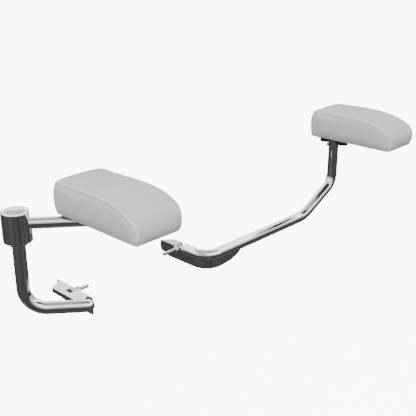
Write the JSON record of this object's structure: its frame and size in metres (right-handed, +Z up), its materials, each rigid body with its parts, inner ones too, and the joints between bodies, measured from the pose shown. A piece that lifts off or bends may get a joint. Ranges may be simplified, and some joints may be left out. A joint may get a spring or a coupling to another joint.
{
  "type": "treatment chair arm support pair",
  "caption": "Pair of padded arm supports on bent chromed tubes with clamp brackets; one arm swings away and lifts off, the other pad swivels on a fixed post.",
  "frame": {"origin": "on the right bracket's mounting face, at the axis of its bolt", "axes": "+Z up, +Y to the front of the chair, +X to the sitter's right"},
  "size_m": [0.9682, 0.348, 0.3001],
  "materials": {
    "chromed_steel": "polished chrome plating on steel tube",
    "bracket_steel": "bright satin plated sheet steel",
    "zinc_plated_steel": "bright zinc plating",
    "white_nylon": "natural white, lightly satin",
    "bronze": "plain sintered bearing bronze",
    "black_plastic": "fine-textured black moulding",
    "plywood": "sanded birch plywood",
    "foam": "open-cell upholstery foam",
    "grey_vinyl": "smooth light grey upholstery vinyl with sewn seams"
  },
  "bodies": {
    "chair_side": {"right_lower_tube": "chromed_steel", "right_tube_end_cap": "chromed_steel", "pivot_spindle": "zinc_plated_steel", "swing_stop_pin": "zinc_plated_steel", "thrust_washer": "white_nylon", "retaining_washer": "zinc_plated_steel", "spindle_screw": "zinc_plated_steel", "right_bracket": "bracket_steel", "left_bracket": "bracket_steel", "right_mount_bolt": "zinc_plated_steel", "right_bolt_washer": "zinc_plated_steel", "right_mount_nut": "zinc_plated_steel", "left_mount_bolt": "zinc_plated_steel", "left_bolt_washer": "zinc_plated_steel", "left_mount_nut": "zinc_plated_steel", "left_tube": "chromed_steel", "left_tube_end_cap": "chromed_steel", "left_clamp_screw": "zinc_plated_steel"},
    "swing_cup": {"pivot_cup": "chromed_steel", "pivot_bush": "bronze"},
    "right_arm": {"arm_hub": "chromed_steel", "hub_sleeve": "white_nylon", "hub_cross_pin": "zinc_plated_steel", "upper_tube": "chromed_steel", "upper_tube_plug": "black_plastic", "right_pad_plate": "bracket_steel", "right_pad_knobs": "black_plastic", "right_pad_tee_nuts": "zinc_plated_steel", "right_pad_board": "plywood", "right_pad_foam": "foam", "right_pad_cover": "grey_vinyl"},
    "left_pad": {"left_pad_stem": "zinc_plated_steel", "left_pad_plate": "bracket_steel", "left_pad_knobs": "black_plastic", "left_pad_tee_nuts": "zinc_plated_steel", "left_pad_board": "plywood", "left_pad_foam": "foam", "left_pad_cover": "grey_vinyl"}
  },
  "joints": [
    {"name": "arm_swing", "type": "hinge", "parent": "chair_side", "child": "swing_cup", "pos_m": [0.1185, 0, 0.15], "axis": [0, 0, 1], "range_deg": [-100, 0]},
    {"name": "arm_lift", "type": "slide", "parent": "swing_cup", "child": "right_arm", "axis": [0, 0, 1], "range_m": [0, 0.036]},
    {"name": "left_pad_swivel", "type": "hinge", "parent": "chair_side", "child": "left_pad", "pos_m": [-0.7625, 0.092, 0.15], "axis": [0, 0, 1], "range_deg": [-20, 20]}
  ]
}
